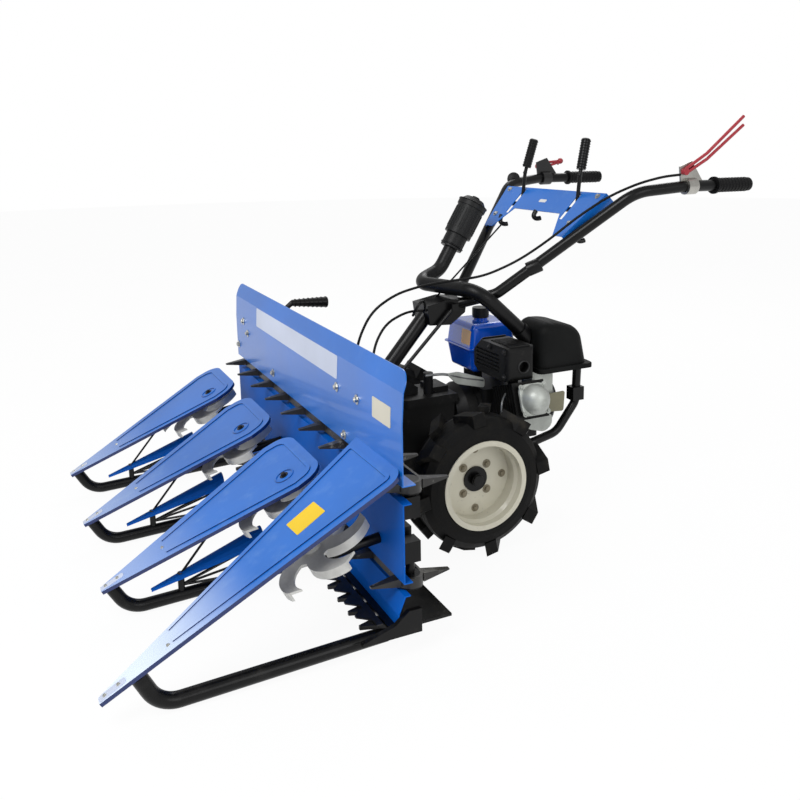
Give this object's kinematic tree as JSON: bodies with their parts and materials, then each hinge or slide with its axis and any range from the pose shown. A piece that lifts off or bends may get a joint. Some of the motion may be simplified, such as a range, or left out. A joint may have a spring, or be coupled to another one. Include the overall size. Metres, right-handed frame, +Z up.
{
  "type": "walk-behind reaper",
  "caption": "Walk-behind reaper: lugged belts and star wheels behind pointed dividers over a cutter bar, carried by a two-wheeled engine unit with a handlebar.",
  "frame": {"origin": "on the floor under the middle of the machine's box", "axes": "+X the machine's left, -Y its front with the dividers, +Y its rear with the handlebar, +Z up"},
  "size_m": [1.401, 1.8535, 1.1356],
  "materials": {
    "black_paint": "satin enamel",
    "black_plastic": "moulded",
    "black_rubber": "matt",
    "blue_paint": "gloss enamel",
    "bright_steel": "zinc plated",
    "cast_grey": "painted rough casting",
    "engine_alloy": "die-cast",
    "red_paint": "dipped coating",
    "rim_white": "satin enamel",
    "star_alloy": "die-cast",
    "tank_blue": "gloss enamel",
    "tyre_rubber": "matt"
  },
  "bodies": {
    "machine": {"air_cleaner": "black_plastic", "belt_pulleys": "black_paint", "bottom_strip": "blue_paint", "carburettor": "engine_alloy", "clutch_brackets": "bright_steel", "clutch_housing": "cast_grey", "clutch_levers": "red_paint", "console_panel": "blue_paint", "control_cables": "black_rubber", "cutter_guards": "black_paint", "divider_cover_1": "blue_paint", "divider_cover_2": "blue_paint", "divider_cover_3": "blue_paint", "divider_cover_4": "blue_paint", "divider_rods": "black_paint", "end_shoes": "black_paint", "engine_block": "cast_grey", "fuel_cap": "black_plastic", "fuel_tank": "tank_blue", "gearbox": "cast_grey", "gearbox_cover": "cast_grey", "hand_grips": "black_rubber", "handle_column": "black_paint", "handle_seat": "black_paint", "handle_tubes": "black_paint", "header_coupling": "cast_grey", "header_frame": "black_paint", "header_lever": "black_paint", "intake_hose": "black_rubber", "lower_backboard": "blue_paint", "lower_dividers": "blue_paint", "lower_lug_belt": "black_rubber", "muffler": "cast_grey", "pre_cleaner": "black_plastic", "rear_guard": "black_paint", "recoil_cover": "black_plastic", "rocker_cover": "engine_alloy", "shift_levers": "black_paint", "shift_peg": "black_rubber", "skids": "black_paint", "star_brackets": "black_paint", "upper_backboard": "blue_paint", "upper_lug_belt": "black_rubber"},
    "left_wheel": {"hub_left": "black_paint", "rim_left": "rim_white", "tyre_left": "tyre_rubber"},
    "right_wheel": {"hub_right": "black_paint", "rim_right": "rim_white", "tyre_right": "tyre_rubber"},
    "knife_bar": {"knife": "bright_steel"},
    "star_1": {"star_wheel_1": "star_alloy"},
    "star_2": {"star_wheel_2": "star_alloy"},
    "star_3": {"star_wheel_3": "star_alloy"},
    "star_4": {"star_wheel_4": "star_alloy"}
  },
  "joints": [
    {"name": "left_wheel_spin", "type": "hinge", "parent": "machine", "child": "left_wheel", "pos_m": [0.3365, 0.0645, 0.2], "axis": [1, 0, 0], "continuous": true},
    {"name": "right_wheel_spin", "type": "hinge", "parent": "machine", "child": "right_wheel", "pos_m": [-0.2515, 0.0645, 0.2], "axis": [1, 0, 0], "continuous": true},
    {"name": "star_1_spin", "type": "hinge", "parent": "machine", "child": "star_1", "pos_m": [-0.5575, -0.4725, 0.2297], "axis": [0, -0.4493, 0.8934], "continuous": true},
    {"name": "star_2_spin", "type": "hinge", "parent": "machine", "child": "star_2", "pos_m": [-0.1575, -0.4725, 0.2297], "axis": [0, -0.4493, 0.8934], "continuous": true},
    {"name": "star_3_spin", "type": "hinge", "parent": "machine", "child": "star_3", "pos_m": [0.2425, -0.4725, 0.2297], "axis": [0, -0.4493, 0.8934], "continuous": true},
    {"name": "star_4_spin", "type": "hinge", "parent": "machine", "child": "star_4", "pos_m": [0.5645, -0.4725, 0.2297], "axis": [0, -0.4493, 0.8934], "continuous": true},
    {"name": "knife_slide", "type": "slide", "parent": "machine", "child": "knife_bar", "axis": [1, 0, 0], "range_m": [-0.026, 0.026]}
  ]
}
